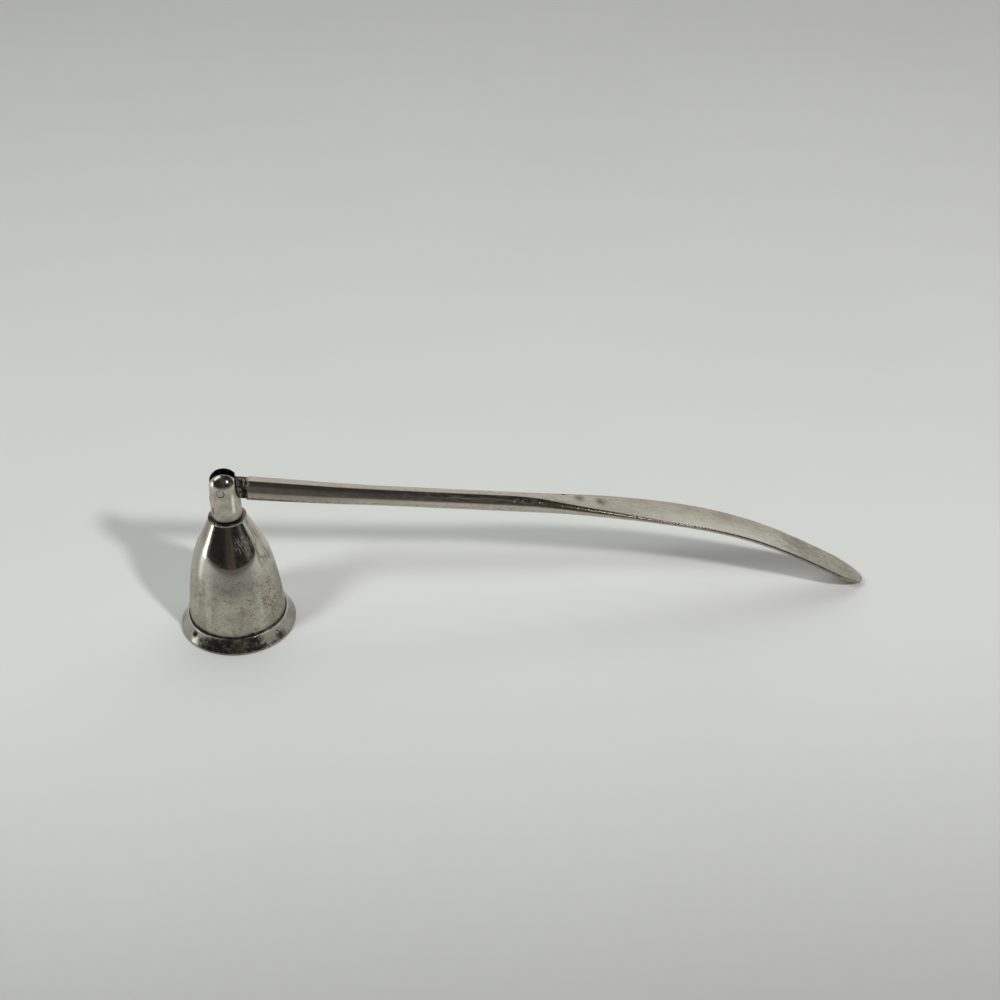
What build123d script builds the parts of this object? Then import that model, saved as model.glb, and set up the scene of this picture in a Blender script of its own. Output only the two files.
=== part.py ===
from build123d import *
import math
import os

# A candle snuffer: a bell on a hinged handle, standing on its rim with the tip of the handle at rest.
# Millimetres, +Z up. The origin is the centre of the bell's mouth, level with the rim's foot.
# The handle runs to +X.

# Clearances
seat_gap = 0.05             # round a piece that is soldered, screwed or riveted into another
eye_gap = 0.06              # round the pin in the handle's eye
cheek_gap = 0.15            # on each side of the handle's tongue in its slot
swing_gap = 0.30            # between the tongue's round end and the floor of its slot
overrun = 6.0               # how far a cutting shape runs past what it cuts

# Bell cup, spun from sheet
cup_wall = 1.0
cup_skirt_radius = 15.9     # the straight edge that stands in the rim ring
cup_body_inset = 3.85       # how far the body draws in from the skirt up to the break
cup_body_rise = 25.9        # from the top of the ring to the break
cup_body_bow = 0.55         # how far the body swells past a straight line
cup_break_blend = 44.0      # radius where the body turns into the cone
cup_cone_rise = 12.0        # from the break to the flat crown

# Rim ring, turned
ring_height = 5.0
ring_groove_width = 0.4     # open groove between the ring's lip and the cup
ring_groove_depth = 0.7
ring_lip = 0.25             # width of the lip at the top of the ring
ring_flare = 2.4            # how far the foot stands out past the lip
ring_flare_hollow = 0.1     # how far the flare is hollowed below a straight line
ring_foot_land = 0.3        # upright band at the foot
ring_ledge_height = 2.0     # inner ledge that carries the edge of the cup
ring_foot_bevel = 0.4       # bevel at the mouth
ring_foot_round = 0.5       # round at the outer edge of the foot

# Hinge post, turned, sawn and filed
post_radius = 4.9
post_straight_rise = 12.45  # from the collar to the centre of the dome
post_foot_round = 0.5
post_pin_rise = 11.6        # from the collar to the hinge pin
post_pin_offset = 1.0       # how far the pin is set back from the post's centre, away from the handle
ear_relief = 1.2            # how far the ears are filed back on the handle's side
ear_relief_rise = 6.5       # from the collar to the foot of that relief
ear_relief_sweep = 6.7      # height over which the relief runs out into the round of the post
ear_edge_round = 0.25       # round on the edges of the ears
slot_width = 3.0
lowest_droop = 20.0         # degrees below level where the tongue meets the sloping floor of its slot
spigot_radius = 3.2         # short spigot under the post, through the collar and the crown
spigot_relief = 0.2         # how far the spigot stops short of the washer

# Collar between the crown and the post
collar_margin = 1.3         # how far the collar shows round the post
collar_thickness = 0.6
collar_edge_round = 0.2
collar_overhang = 0.2       # how far the collar stands out past the flat of the crown

# Screw and washer inside the bell
screw_radius = 1.9
screw_roof = 2.0            # metal left between the screw's hole and the slot
screw_tip_gap = 0.8
screw_head_radius = 3.3
screw_head_height = 2.2
screw_head_edge = 0.9       # upright edge of the domed head
screw_slot_width = 0.9
screw_slot_depth = 1.0
washer_margin = 0.4         # between the washer and the curve inside the crown
washer_thickness = 0.8

# Hinge pin, riveted flush with the post
pin_radius = 1.25

# Handle, forged in one piece
rod_end_radius = 3.8        # at the hinge
rod_radius = 3.2            # along its plain stretch
rod_standoff = 2.2          # clear of the dome as the handle swings over it
rod_end_bevel = 0.3
tongue_step = 0.25          # how far the tongue's edges stand below the round of the rod
tongue_root = 3.0           # how far the tongue runs on inside the rod
rod_taper_length = 47.0
flat_start = 84.0           # where the hammered flat begins, from the end face of the rod
flat_length = 60.0          # over which the round rod turns into the blade
blade_width = 12.3
blade_thickness = 1.7
blade_edge_bulge = 0.35     # how far the edge swells past the flat
blade_crown = 0.06          # how far the flat falls off towards its edges
tip_length = 14.0           # length of the rounded end
handle_reach = 220.3        # from the pin to the tip, along the line of the rod's end
handle_lift = 2.5           # how far the middle of the handle rises above that line
handle_drop = 19.15         # how far the tip falls below it

# Shares that shape the curve of the handle and its cross sections
bow_reach_shares = (0.44, 0.645)            # of the reach, where the handle is at its full lift
knee_reach_share = 0.79                     # of the reach, where the blade turns down
knee_drop_share = 0.094                     # of the drop, at that place
tip_run_share = 0.42                        # fall for each unit of reach at the tip
tip_fullness_share = 1.04                   # of the blade's width, for the ellipse that rounds the tip
side_drop_share = 0.35                      # of the half thickness, how low the side is widest half way
facet_angle = 35.0                          # degrees from the top of the rod to the edge of the top facet
facet_round_share = math.sin(math.radians(facet_angle))
facet_level_share = math.cos(math.radians(facet_angle))
belly_round_shares = (0.866, 0.93)          # of the half width, where the underside starts: rod, blade
belly_level_shares = (0.5, 0.6)             # of the half thickness, at that place: rod, blade
taper_station_shares = (0, 0.5, 1)          # where the cross sections stand along each stretch
plain_station_shares = (0.3, 0.6, 0.85)
flat_station_shares = (0, 0.125, 0.25, 0.375, 0.5, 0.625, 0.75, 0.875, 1)
blade_station_shares = (0.1, 0.35, 0.7, 1)

# Places that follow from those sizes
crown_radius = post_radius + collar_margin - collar_overhang
break_radius = cup_skirt_radius - cup_body_inset
break_height = ring_height + cup_body_rise
cup_height = break_height + cup_cone_rise
collar_radius = post_radius + collar_margin
collar_top = cup_height + collar_thickness
dome_height = collar_top + post_straight_rise
pin_height = collar_top + post_pin_rise
relief_x = post_radius - ear_relief
pin_x = -post_pin_offset
relief_foot_height = collar_top + ear_relief_rise
ring_bore = cup_skirt_radius - cup_wall
ring_seat = cup_skirt_radius + seat_gap
ring_top_radius = ring_seat + ring_groove_width + ring_lip
ring_radius = ring_top_radius + ring_flare
ceiling_height = cup_height - cup_wall
washer_bottom = ceiling_height - washer_thickness
washer_radius = crown_radius - cup_wall - washer_margin
tongue_radius = rod_end_radius - tongue_step
slot_floor_reach = tongue_radius + swing_gap
slot_slope = math.tan(math.radians(lowest_droop))
slot_slope_level = slot_floor_reach / math.cos(math.radians(lowest_droop))
tongue_reach = post_radius + math.hypot(pin_x, dome_height - pin_height) + rod_standoff


def slot_floor(x):
    """Height of the sloping floor of the slot, a line that stays clear of the tongue at its lowest droop."""
    return pin_height - slot_slope_level - (x - pin_x) * slot_slope


def turned(outline):
    """A solid turned about the Z axis from a closed outline in the XZ plane."""
    return revolve(make_face(Plane.XZ * outline), Axis.Z)


def closed(*pairs):
    """A closed outline through the given points."""
    return Polyline(*pairs, close=True)


def make_bell_cup():
    """The cup: a skirt, a bowed body, a cone and a flat crown, drawn as one line and thickened inwards."""
    skirt = Line((cup_skirt_radius, ring_ledge_height), (cup_skirt_radius, ring_height))
    body = SagittaArc(skirt @ 1, (break_radius, break_height), -cup_body_bow)
    cone = Line(body @ 1, (crown_radius, cup_height))
    crown = Line(cone @ 1, (spigot_radius + seat_gap, cup_height))
    outside = Wire([skirt, body, cone, crown])
    crease = outside.vertices().sort_by_distance(body @ 1)[0]
    outside = fillet(crease, cup_break_blend)
    return turned(offset(outside, cup_wall, kind=Kind.INTERSECTION, side=Side.LEFT))


def make_rim_ring():
    """The ring: a hollowed flare outside, a ledge and seat for the cup inside, and a groove round the cup."""
    foot = (ring_radius - ring_foot_round, 0)
    land_bottom = (ring_radius, ring_foot_round)
    land_top = (ring_radius, ring_foot_round + ring_foot_land)
    lip = (ring_top_radius, ring_height)
    edge = RadiusArc(foot, land_bottom, -ring_foot_round)
    land = Line(land_bottom, land_top)
    flare = SagittaArc(land_top, lip, ring_flare_hollow)
    inside = Polyline(
        lip,
        (ring_seat + ring_groove_width, ring_height),
        (ring_seat, ring_height - ring_groove_depth),
        (ring_seat, ring_ledge_height),
        (ring_bore, ring_ledge_height),
        (ring_bore, ring_foot_bevel),
        (ring_bore + ring_foot_bevel, 0),
        foot,
    )
    return turned(edge + land + flare + inside)


def make_crown_collar():
    """The collar: a thin washer with a rounded outer edge."""
    hole = spigot_radius + seat_gap
    collar = turned(closed(
        (hole, cup_height),
        (collar_radius, cup_height),
        (collar_radius, collar_top),
        (hole, collar_top),
    ))
    edge = collar.edges().filter_by(GeomType.CIRCLE).sort_by(SortBy.RADIUS)[-2:].sort_by(Axis.Z)[-1]
    return fillet(edge, collar_edge_round)


def make_post_blank():
    """The post before it is sawn: a spigot, a rounded foot, a straight stretch and a dome."""
    spigot_bottom = ceiling_height + spigot_relief
    foot_start = (post_radius - post_foot_round, collar_top)
    foot_end = (post_radius, collar_top + post_foot_round)
    dome_top = (0, dome_height + post_radius)
    foot = RadiusArc(foot_start, foot_end, -post_foot_round)
    side = Line(foot_end, (post_radius, dome_height))
    dome = RadiusArc(side @ 1, dome_top, -post_radius)
    rest = Polyline(
        dome_top,
        (0, spigot_bottom),
        (spigot_radius, spigot_bottom),
        (spigot_radius, collar_top),
        foot_start,
    )
    return turned(foot + side + dome + rest)


def through_post(outline, width):
    """A cutting shape of the given width across the post, from a closed outline seen along the pin."""
    return extrude(make_face(Plane.XZ * outline), width / 2, both=True)


def screw_hole_top():
    """Height of the closed end of the screw's hole, under the lowest part of the slot's floor above it."""
    return slot_floor(screw_radius) - screw_roof


def ear_edges(post):
    """The edges of the ears: where the slot leaves the post above its floor, and where the relief does."""
    wall = slot_width / 2
    edges = post.edges()
    mouth = edges.filter_by_position(Axis.Y, wall, wall) + edges.filter_by_position(Axis.Y, -wall, -wall)
    clear = [edge for edge in mouth if edge.center().Z > slot_floor(edge.center().X) + ear_edge_round]
    arcs = edges.filter_by(GeomType.CIRCLE).filter_by_position(Axis.X, relief_x, relief_x)
    return clear + list(arcs)


def make_hinge_post(blank):
    """The post: a through slot with a sloping floor, ears filed back for the rod, and its two holes."""
    far = post_radius + overrun
    top = dome_height + far
    floor = pin_height - slot_floor_reach
    slope_start = pin_x - (slot_slope_level - slot_floor_reach) / slot_slope
    slot = closed((-far, floor), (slope_start, floor), (far, slot_floor(far)), (far, top), (-far, top))
    relief_top = (relief_x, relief_foot_height + ear_relief_sweep)
    relief_foot = (post_radius, relief_foot_height)
    relief_curve = TangentArc(relief_top, relief_foot, tangent=(0, -1))
    relief_rest = Polyline(relief_foot, (far, relief_foot_height), (far, top), (relief_x, top), relief_top)
    hole_depth = screw_hole_top() - ceiling_height
    hole = Pos(0, 0, ceiling_height + hole_depth / 2) * Cylinder(screw_radius + seat_gap, hole_depth)
    post = blank - through_post(slot, slot_width)
    post -= through_post(relief_curve + relief_rest, far * 2)
    post = fillet(ear_edges(post), ear_edge_round)
    post -= pin_bar(pin_radius + seat_gap)
    return post - hole


def pin_bar(radius):
    """A round bar along the hinge's axis, longer than the post is wide."""
    return Pos(pin_x, 0, pin_height) * Rot(90, 0, 0) * Cylinder(radius, post_radius * 2 + overrun)


def make_hinge_pin(blank):
    """The pin: a round bar with its ends dressed flush with the post."""
    return pin_bar(pin_radius) & blank


def make_crown_screw():
    """The screw: a plain shank up into the post and a slotted, domed head under the washer."""
    tip = screw_hole_top() - screw_tip_gap
    edge = washer_bottom - screw_head_edge
    bottom = washer_bottom - screw_head_height
    dome = TangentArc((0, bottom), (screw_head_radius, edge), tangent=(1, 0))
    rest = Polyline(
        (screw_head_radius, edge),
        (screw_head_radius, washer_bottom),
        (screw_radius, washer_bottom),
        (screw_radius, tip),
        (0, tip),
        (0, bottom),
    )
    slot_length = screw_head_radius * 2 + overrun
    driver_slot = Pos(0, 0, bottom) * Box(slot_length, screw_slot_width, screw_slot_depth * 2)
    return turned(dome + rest) - driver_slot


def make_screw_washer():
    """The washer that spreads the screw's pull over the crown."""
    hole = screw_radius + seat_gap
    return turned(closed(
        (hole, washer_bottom),
        (washer_radius, washer_bottom),
        (washer_radius, ceiling_height),
        (hole, ceiling_height),
    ))


def ease(value, start, end):
    """A smooth step from 0 at the start to 1 at the end, level at both."""
    share = min(max((value - start) / (end - start), 0), 1)
    return share * share * (3 - 2 * share)


def between(first, last, share):
    """The value that lies the given share of the way from the first to the last."""
    return first + (last - first) * share


def handle_section(run):
    """The cross section at a run along the handle, as four arcs: the top facet, two sides and the belly."""
    radius = between(rod_end_radius, rod_radius, ease(run, 0, rod_taper_length))
    flat = ease(run, flat_start, flat_start + flat_length)
    depth = between(radius, blade_thickness / 2, flat)
    facet = between(radius * facet_round_share, blade_width / 2 - blade_edge_bulge, flat)
    fall = between(radius * (1 - facet_level_share), blade_crown, flat)
    half = facet + between(radius * (1 - facet_round_share), blade_edge_bulge, flat)
    half_level = -depth * side_drop_share * 4 * flat * (1 - flat)
    belly = half * between(*belly_round_shares, flat)
    belly_level = -depth * between(*belly_level_shares, flat)
    top = ThreePointArc((-facet, depth - fall), (0, depth), (facet, depth - fall))
    right = ThreePointArc(top @ 1, (half, half_level), (belly, belly_level))
    bottom = ThreePointArc(right @ 1, (0, -depth), (-belly, belly_level))
    left = ThreePointArc(bottom @ 1, (-half, half_level), top @ 0)
    return make_face(top + right + bottom + left)


def handle_spine():
    """The handle's centre line to its tip. The pin is the origin and the rod starts along X."""
    bow = [(handle_reach * share, 0, handle_lift) for share in bow_reach_shares]
    knee = (handle_reach * knee_reach_share, 0, -handle_drop * knee_drop_share)
    tip = (handle_reach, 0, -handle_drop)
    return Spline((tongue_reach, 0, 0), *bow, knee, tip, tangents=((1, 0, 0), (1, 0, -tip_run_share)))


def section_plane(place, direction):
    """The plane across the handle at a place, with the width along Y."""
    return Plane(origin=place, x_dir=(0, 1, 0), z_dir=direction)


def make_tongue():
    """The tongue: a round bar flattened on both cheeks, rounded about the pin and pierced by its eye."""
    length = tongue_reach + tongue_root
    bar = Rot(0, 90, 0) * Cylinder(tongue_radius, length * 2)
    side = Pos(length / 2, 0) * Rectangle(length, tongue_radius * 2) + Circle(tongue_radius)
    cheeks = extrude(Plane.XZ * side, slot_width / 2 - cheek_gap, both=True)
    eye = Rot(90, 0, 0) * Cylinder(pin_radius + eye_gap, slot_width)
    return (bar & cheeks) - eye


def rod_end_waste():
    """The turned ring of metal that comes off the rod's end to leave its bevel."""
    inner = rod_end_radius - rod_end_bevel * 2
    outer = rod_end_radius + rod_end_bevel
    start = tongue_reach - rod_end_bevel
    triangle = closed((start, inner), (start, outer), (start + outer - inner, outer))
    return revolve(make_face(Plane.XZ * triangle), Axis.X)


def make_rod_and_blade():
    """The rod and blade: a loft through sections along the centre line, with an elliptical tip."""
    spine = handle_spine()
    blade_start = flat_start + flat_length
    blade_run = spine.length - blade_start
    plain_length = flat_start - rod_taper_length
    runs = [rod_taper_length * share for share in taper_station_shares]
    runs += [rod_taper_length + plain_length * share for share in plain_station_shares]
    runs += [flat_start + flat_length * share for share in flat_station_shares]
    runs += [blade_start + blade_run * share for share in blade_station_shares]
    sections = []
    for run in runs:
        share = run / spine.length
        sections.append(section_plane(spine @ share, spine % share) * handle_section(run))
    sections.append(section_plane(spine @ 1, spine % 1).offset(overrun) * handle_section(runs[-1]))
    tip_start = handle_reach - tip_length
    waste = Pos(tip_start + handle_reach / 2, 0) * Rectangle(handle_reach, blade_width * 2)
    waste -= Pos(tip_start, 0) * Ellipse(tip_length, blade_width / 2 * tip_fullness_share)
    return loft(sections) - rod_end_waste() - extrude(waste, handle_reach, both=True)


def rest_droop():
    """Degrees that the handle turns down about the pin until its tip is level with the rim's foot."""
    tip_slope = math.atan(tip_run_share)
    low_x = handle_reach
    low_z = -handle_drop - blade_thickness / 2 / math.cos(tip_slope)
    fall = math.asin(pin_height / math.hypot(low_x, low_z))
    return math.degrees(fall + math.atan2(low_z, low_x))


def make_handle():
    """The handle in its place: tongue, rod and blade as one forging, turned down on its pin."""
    handle = make_tongue() + make_rod_and_blade()
    return Pos(pin_x, 0, pin_height) * Rot(0, rest_droop(), 0) * handle


post_blank = make_post_blank()
pieces = {
    "bell_cup": make_bell_cup(),
    "rim_ring": make_rim_ring(),
    "crown_collar": make_crown_collar(),
    "hinge_post": make_hinge_post(post_blank),
    "hinge_pin": make_hinge_pin(post_blank),
    "crown_screw": make_crown_screw(),
    "screw_washer": make_screw_washer(),
    "handle": make_handle(),
}

os.makedirs("parts", exist_ok=True)
for name, piece in pieces.items():
    export_step(piece, f"parts/{name}.step")
    print(name, "volume", round(piece.volume, 1), "valid", piece.is_valid)
print("hinge pin at", round(pin_x, 3), 0, round(pin_height, 3), "droop at rest", round(rest_droop(), 2))
print("lowest point of the handle", round(pieces["handle"].bounding_box().min.Z, 3))
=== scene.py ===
# %% [markdown]
# # A silver-plated candle snuffer
# A snuffer puts out a candle by covering its flame with a small bell. This one stands on the rim of
# its bell, and the tip of its hinged handle rests on the table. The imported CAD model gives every
# piece its place and its size. This lesson makes the large polished surfaces finer than a CAD mesh,
# gives each piece its worn plate, and lights it.

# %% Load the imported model
import math
import bmesh
import bpy
import numpy as np
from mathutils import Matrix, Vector


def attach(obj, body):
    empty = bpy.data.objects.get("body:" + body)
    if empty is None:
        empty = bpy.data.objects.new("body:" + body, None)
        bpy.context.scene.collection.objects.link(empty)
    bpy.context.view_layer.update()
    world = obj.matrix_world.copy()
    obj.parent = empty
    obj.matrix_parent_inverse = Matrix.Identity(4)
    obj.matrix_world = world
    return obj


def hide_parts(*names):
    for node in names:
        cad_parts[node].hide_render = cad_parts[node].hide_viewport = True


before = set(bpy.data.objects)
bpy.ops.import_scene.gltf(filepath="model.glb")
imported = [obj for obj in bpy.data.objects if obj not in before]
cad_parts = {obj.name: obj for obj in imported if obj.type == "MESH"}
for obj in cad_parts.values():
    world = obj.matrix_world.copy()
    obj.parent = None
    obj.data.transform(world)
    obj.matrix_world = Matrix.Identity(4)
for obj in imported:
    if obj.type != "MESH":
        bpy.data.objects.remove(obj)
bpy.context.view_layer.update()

scene = bpy.context.scene
scene.view_settings.view_transform = "Standard"
print("nodes:", ", ".join(sorted(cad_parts)))

# %% [markdown]
# ## The camera
# The bell is round, so its outline in a picture fixes the camera: the ovals of the rim and the
# crown give the angle, and their sizes give the distance. A camera could also be placed by eye, but
# then every edge would be a little off.

# %% Camera
camera_place = (0.0460, -0.4445, 0.3702)    # metres
camera_look = (0.0761, 0.8033, -0.5907)
sensor_width, lens_length = 36.0, 61.2      # millimetres

camera_data = bpy.data.cameras.new("camera")
camera_data.sensor_width = sensor_width
camera_data.lens = lens_length
camera = bpy.data.objects.new("camera", camera_data)
camera.location = camera_place
camera.rotation_mode = "QUATERNION"
camera.rotation_quaternion = Vector(camera_look).to_track_quat("-Z", "Y")
scene.collection.objects.link(camera)
scene.camera = camera
print("camera", round(math.degrees(math.asin(-camera_look[2])), 1), "degrees above the table")

# %% [markdown]
# ## Writing a finish as sums
# A finish in Blender is a tree of nodes, and most of its nodes only add, multiply or compare. They
# could be placed one by one, but a sum is easier to read. The class below wraps one socket of a
# tree, so that Python's own signs add the Math nodes. Any other node comes from its `node` method,
# which sets the node up first and then fills its sockets.

# %% A field over a surface
class Field:
    """One output socket of a node tree. Signs such as + and * add a Math node and give its output."""

    def __init__(self, tree, socket=None):
        self.tree = tree
        self.socket = socket

    def node(self, kind, settings=None, sockets=None, out=0):
        """Adds a node: first its settings, then a value or a link for each named or numbered socket."""
        made = self.tree.nodes.new(kind)
        for name, value in (settings or {}).items():
            setattr(made, name, value)
        for key, value in (sockets or {}).items():
            if isinstance(value, Field):
                self.tree.links.new(value.socket, made.inputs[key])
            else:
                made.inputs[key].default_value = value
        return Field(self.tree, made.outputs[out] if made.outputs else None)

    def sum(self, operation, *values):
        """One Math node over the given values."""
        return self.node("ShaderNodeMath", {"operation": operation}, dict(enumerate(values)))

    def __add__(self, other):
        return self.sum("ADD", self, other)

    def __sub__(self, other):
        return self.sum("SUBTRACT", self, other)

    def __rsub__(self, other):
        return self.sum("SUBTRACT", other, self)

    def __mul__(self, other):
        return self.sum("MULTIPLY", self, other)

    def __pow__(self, other):
        return self.sum("POWER", self, other)

    def __abs__(self):
        return self.sum("ABSOLUTE", self)

    __radd__ = __add__
    __rmul__ = __mul__


print("a field knows the signs + - * ** and abs")

# %% [markdown]
# A mask is a field from 0 to 1 that says where a stain or a shine lies. A colour ramp could make
# each one, but masks made of smooth steps can be named, multiplied and reused, so the few below are
# all that the finishes need.

# %% Masks and colours
def step(field, start, end):
    """A smooth step of a field: 0 up to the start, 1 from the end on. The start may be the larger."""
    flip = start > end
    low, high = min(start, end), max(start, end)
    values = {0: field, 1: low, 2: high, 3: float(flip), 4: float(not flip)}
    return field.node("ShaderNodeMapRange", {"interpolation_type": "SMOOTHSTEP"}, values)


def stripe(field, edge, core):
    """A soft stripe where a field passes 0: 1 within the core, 0 from the edge on."""
    return step(abs(field), edge, core)


def within(field, start, full, still, end):
    """A soft window of a field: 0 up to the start, 1 from full to still, 0 from the end on."""
    return step(field, start, full) * step(field, end, still)


def either(mask, *others):
    """The largest of several masks."""
    for other in others:
        mask = mask.sum("MAXIMUM", mask, other)
    return mask


def blend(factor, first, second):
    """A colour that goes from the first to the second as the factor goes from 0 to 1."""
    colours = {0: factor, 6: first, 7: second}
    return factor.node("ShaderNodeMix", {"data_type": "RGBA"}, colours, out=2)


def coats(colour, *layers):
    """A colour under coats, laid in order. Each coat is a tint and the mask by which it covers."""
    for mask, tint in layers:
        colour = blend(mask, colour, tint)
    return colour


def parts(vector):
    """The X, Y and Z of a vector."""
    split = vector.node("ShaderNodeSeparateXYZ", None, {0: vector})
    outputs = split.socket.node.outputs
    return [Field(vector.tree, outputs[axis]) for axis in range(3)]


def how_far(where, point):
    """How far each place is from a point."""
    ends = {0: where, 1: point}
    return where.node("ShaderNodeVectorMath", {"operation": "DISTANCE"}, ends, out="Value")


def noise(where, size, detail=2.0, roughness=0.55):
    """Soft noise from 0 to 1 whose blotches are about the given size, in the units of the place."""
    sockets = {"Vector": where, "Scale": 1 / size, "Detail": detail, "Roughness": roughness}
    return where.node("ShaderNodeTexNoise", None, sockets)


print("masks: step, stripe, within, either; colours: blend, coats")

# %% [markdown]
# ## The table and the room
# Silver has hardly any colour of its own: it shows what stands round it. Here that is a pale table
# whose colour is painted darker towards the front as shade, a pale wall behind, and a dim room in
# front and overhead, which draws the long dark band along the rod and the dark shape on the cone. One
# soft glow low on the right lights the side of the ring. The room could be a real box of cards, but a
# world that changes with direction does the same with no corners.

# %% Table
floor_half = 6.0                            # metres
floor_drop = 0.00006                        # the table lies a hair below the foot of the ring
pale_table = (0.76, 0.77, 0.75, 1.0)
pale_table_worn = (0.72, 0.73, 0.715, 1.0)
shaded_table = (0.15, 0.15, 0.145, 1.0)
shade_start, shade_end = 0.02, -0.37        # where the shade begins by the bell, and where it is full
paper_blotch = 1 / 9                        # metres
paper_roughness = 0.9

floor_mesh = bpy.data.meshes.new("table")
floor_corners = np.array([(-1, -1, 0), (1, -1, 0), (1, 1, 0), (-1, 1, 0)]) * floor_half
floor_mesh.from_pydata((floor_corners - (0, 0, floor_drop)).tolist(), [], [(0, 1, 2, 3)])
table = bpy.data.objects.new("table", floor_mesh)
scene.collection.objects.link(table)

table_paper = bpy.data.materials.new("table_paper")
table_paper.use_nodes = True
paper = Field(table_paper.node_tree)
paper_shader = table_paper.node_tree.nodes["Principled BSDF"]
paper_place = paper.node("ShaderNodeTexCoord", out="Object")
paper_cloud = noise(paper_place, paper_blotch, 3.0, 0.5)
# The shade towards the front is painted into the paper's colour.
shade = step(parts(paper_place)[1], shade_start, shade_end)
paper_colour = blend(shade, blend(paper_cloud, pale_table, pale_table_worn), shaded_table)
paper.tree.links.new(paper_colour.socket, paper_shader.inputs["Base Color"])
paper_shader.inputs["Roughness"].default_value = paper_roughness
paper_shader.inputs["Specular IOR Level"].default_value = 0.0
floor_mesh.materials.append(table_paper)
print("table", 2 * floor_half, "m square")

# %% Room
room_dim = (0.012, 0.012, 0.012, 1.0)
room_dim_warm = (0.072, 0.060, 0.052, 1.0)
room_pale = (0.70, 0.70, 0.68, 1.0)
room_pale_left = (0.42, 0.43, 0.41, 1.0)
room_glow = (0.24, 0.235, 0.22, 1.0)
glow_way = (0.87, -0.465, 0.14)
glow_edge, glow_heart = 0.26, 0.06          # where the glow ends, and where it is full
overhead_lean = 0.38                        # how far past straight up the dim room reaches
overhead_blur, skyline_blur = 0.08, 0.03
warm_half, warm_left = 0.34, 0.05           # half the width of the lighter shape, and its place
pale_fade = (-0.85, 0.25)                   # the wall grows pale from left to right between these
shape_size, leaf_size = 1 / 2.2, 1 / 16

world = bpy.data.worlds.new("room")
scene.world = world
world.use_nodes = True
room = Field(world.node_tree)
facing = room.node("ShaderNodeTexCoord", out="Generated")
side, back, up = parts(facing)
behind = step(back - up * overhead_lean, -overhead_blur, 0.0)
below = step(up, 0.0, -skyline_blur)
shapes = noise(facing, shape_size, 3.0, 0.5)
leaves = noise(facing, leaf_size, 3.0, 0.5)
figure = stripe(side + warm_left, warm_half, warm_half * 0.7) * step(shapes, 0.25, 0.6)
glow = step(how_far(facing, glow_way), glow_edge, glow_heart) * step(leaves, 0.36, 0.60)
dim = blend(either(figure, step(shapes, 0.55, 0.8)), room_dim, room_dim_warm)
dim = blend(glow, dim, room_glow)
pale = blend(step(side, *pale_fade), room_pale_left, room_pale)
background = world.node_tree.nodes["Background"]
room.tree.links.new(blend(either(behind, below), dim, pale).socket, background.inputs["Color"])
background.inputs["Strength"].default_value = 1.0
print("the room is dim in front and overhead, pale behind")

# %% [markdown]
# A lamp on the right and one on the left throw the two shadows, and a wide one overhead fills them.
# Silver shows a lamp as a white patch of the lamp's own shape. One set of lamps could do both, but
# then a shadow's edge and a glint could not be set apart, so the lamps that light the table stay
# out of reflections, and the glints have their own.

# %% Lamps
lamp_aim = Vector((0.06, 0.0, 0.03))
lamps = [
    # name, lights, azimuth, elevation, distance, width, height, radiance, colour
    ("key_lamp", "table", 37, 39, 1.6, 0.12, 0.12, 299.0, (1.0, 0.99, 0.97)),
    ("key_glint", "silver", 37, 40, 1.3, 0.18, 0.18, 13.0, (1.0, 0.97, 0.93)),
    ("fill_lamp", "table", 160, 72, 0.9, 0.7, 0.7, 0.60, (0.99, 1.0, 0.99)),
    ("left_lamp", "table", -60, 46, 1.3, 0.26, 0.26, 27.0, (0.97, 1.0, 0.99)),
    ("left_glint", "silver", -88, 50, 1.3, 0.34, 1.0, 1.5, (0.95, 1.0, 0.97)),
    ("left_strip", "silver", -88, 4, 0.36, 0.07, 0.11, 2.3, (0.91, 1.0, 0.84)),
]


def hang_lamp(name, lights, azimuth, elevation, distance, width, height, radiance, colour):
    """A rectangular lamp that faces the object and lights either the table or the silver. Azimuth 0 is in
    front and 90 is to the right, in degrees. Its power is its radiance times pi times its area, so that a
    larger lamp is as bright to look at."""
    data = bpy.data.lights.new(name, "AREA")
    data.shape = "RECTANGLE"
    data.size = width
    data.size_y = height
    data.energy = radiance * math.pi * width * height
    data.color = colour
    turn, rise = math.radians(azimuth), math.radians(elevation)
    level = math.cos(rise)
    away = Vector((math.sin(turn) * level, -math.cos(turn) * level, math.sin(rise)))
    made = bpy.data.objects.new(name, data)
    made.location = lamp_aim + away * distance
    made.rotation_mode = "QUATERNION"
    made.rotation_quaternion = (-away).to_track_quat("-Z", "Y")
    made.visible_camera = False
    made.visible_glossy = lights == "silver"
    made.visible_diffuse = lights == "table"
    scene.collection.objects.link(made)


for lamp in lamps:
    hang_lamp(*lamp)
print("lamps:", ", ".join(name for name, *_ in lamps))

# %% [markdown]
# ## Worn silver plate
# Plate is a thin skin of silver over brass. Where a cloth rubs it, it stays bright; elsewhere a
# grey-brown tarnish clouds it, hides in grooves as black grime, and hairline scratches cross it.
# One colour with one roughness would look like plastic, so each finish mixes a few fields: a cloud,
# a mottle, a fine grain, hairlines and grime masks. A picture wrapped round the piece could hold
# them too, but fields of the place need no picture and stay sharp close up.

# %% Fields shared by the finishes
MILLIMETRE = 0.001
# A near-white silver used only to paint highlights and bright reflections into the colour.
painted_highlight_silver = (0.97, 0.96, 0.90, 1.0)
bright_silver = (0.70, 0.672, 0.600, 1.0)
cloudy_silver = (0.47, 0.438, 0.365, 1.0)
brown_tarnish = (0.20, 0.17, 0.13, 1.0)
grey_tarnish = (0.165, 0.162, 0.148, 1.0)
black_grime = (0.022, 0.019, 0.016, 1.0)


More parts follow.
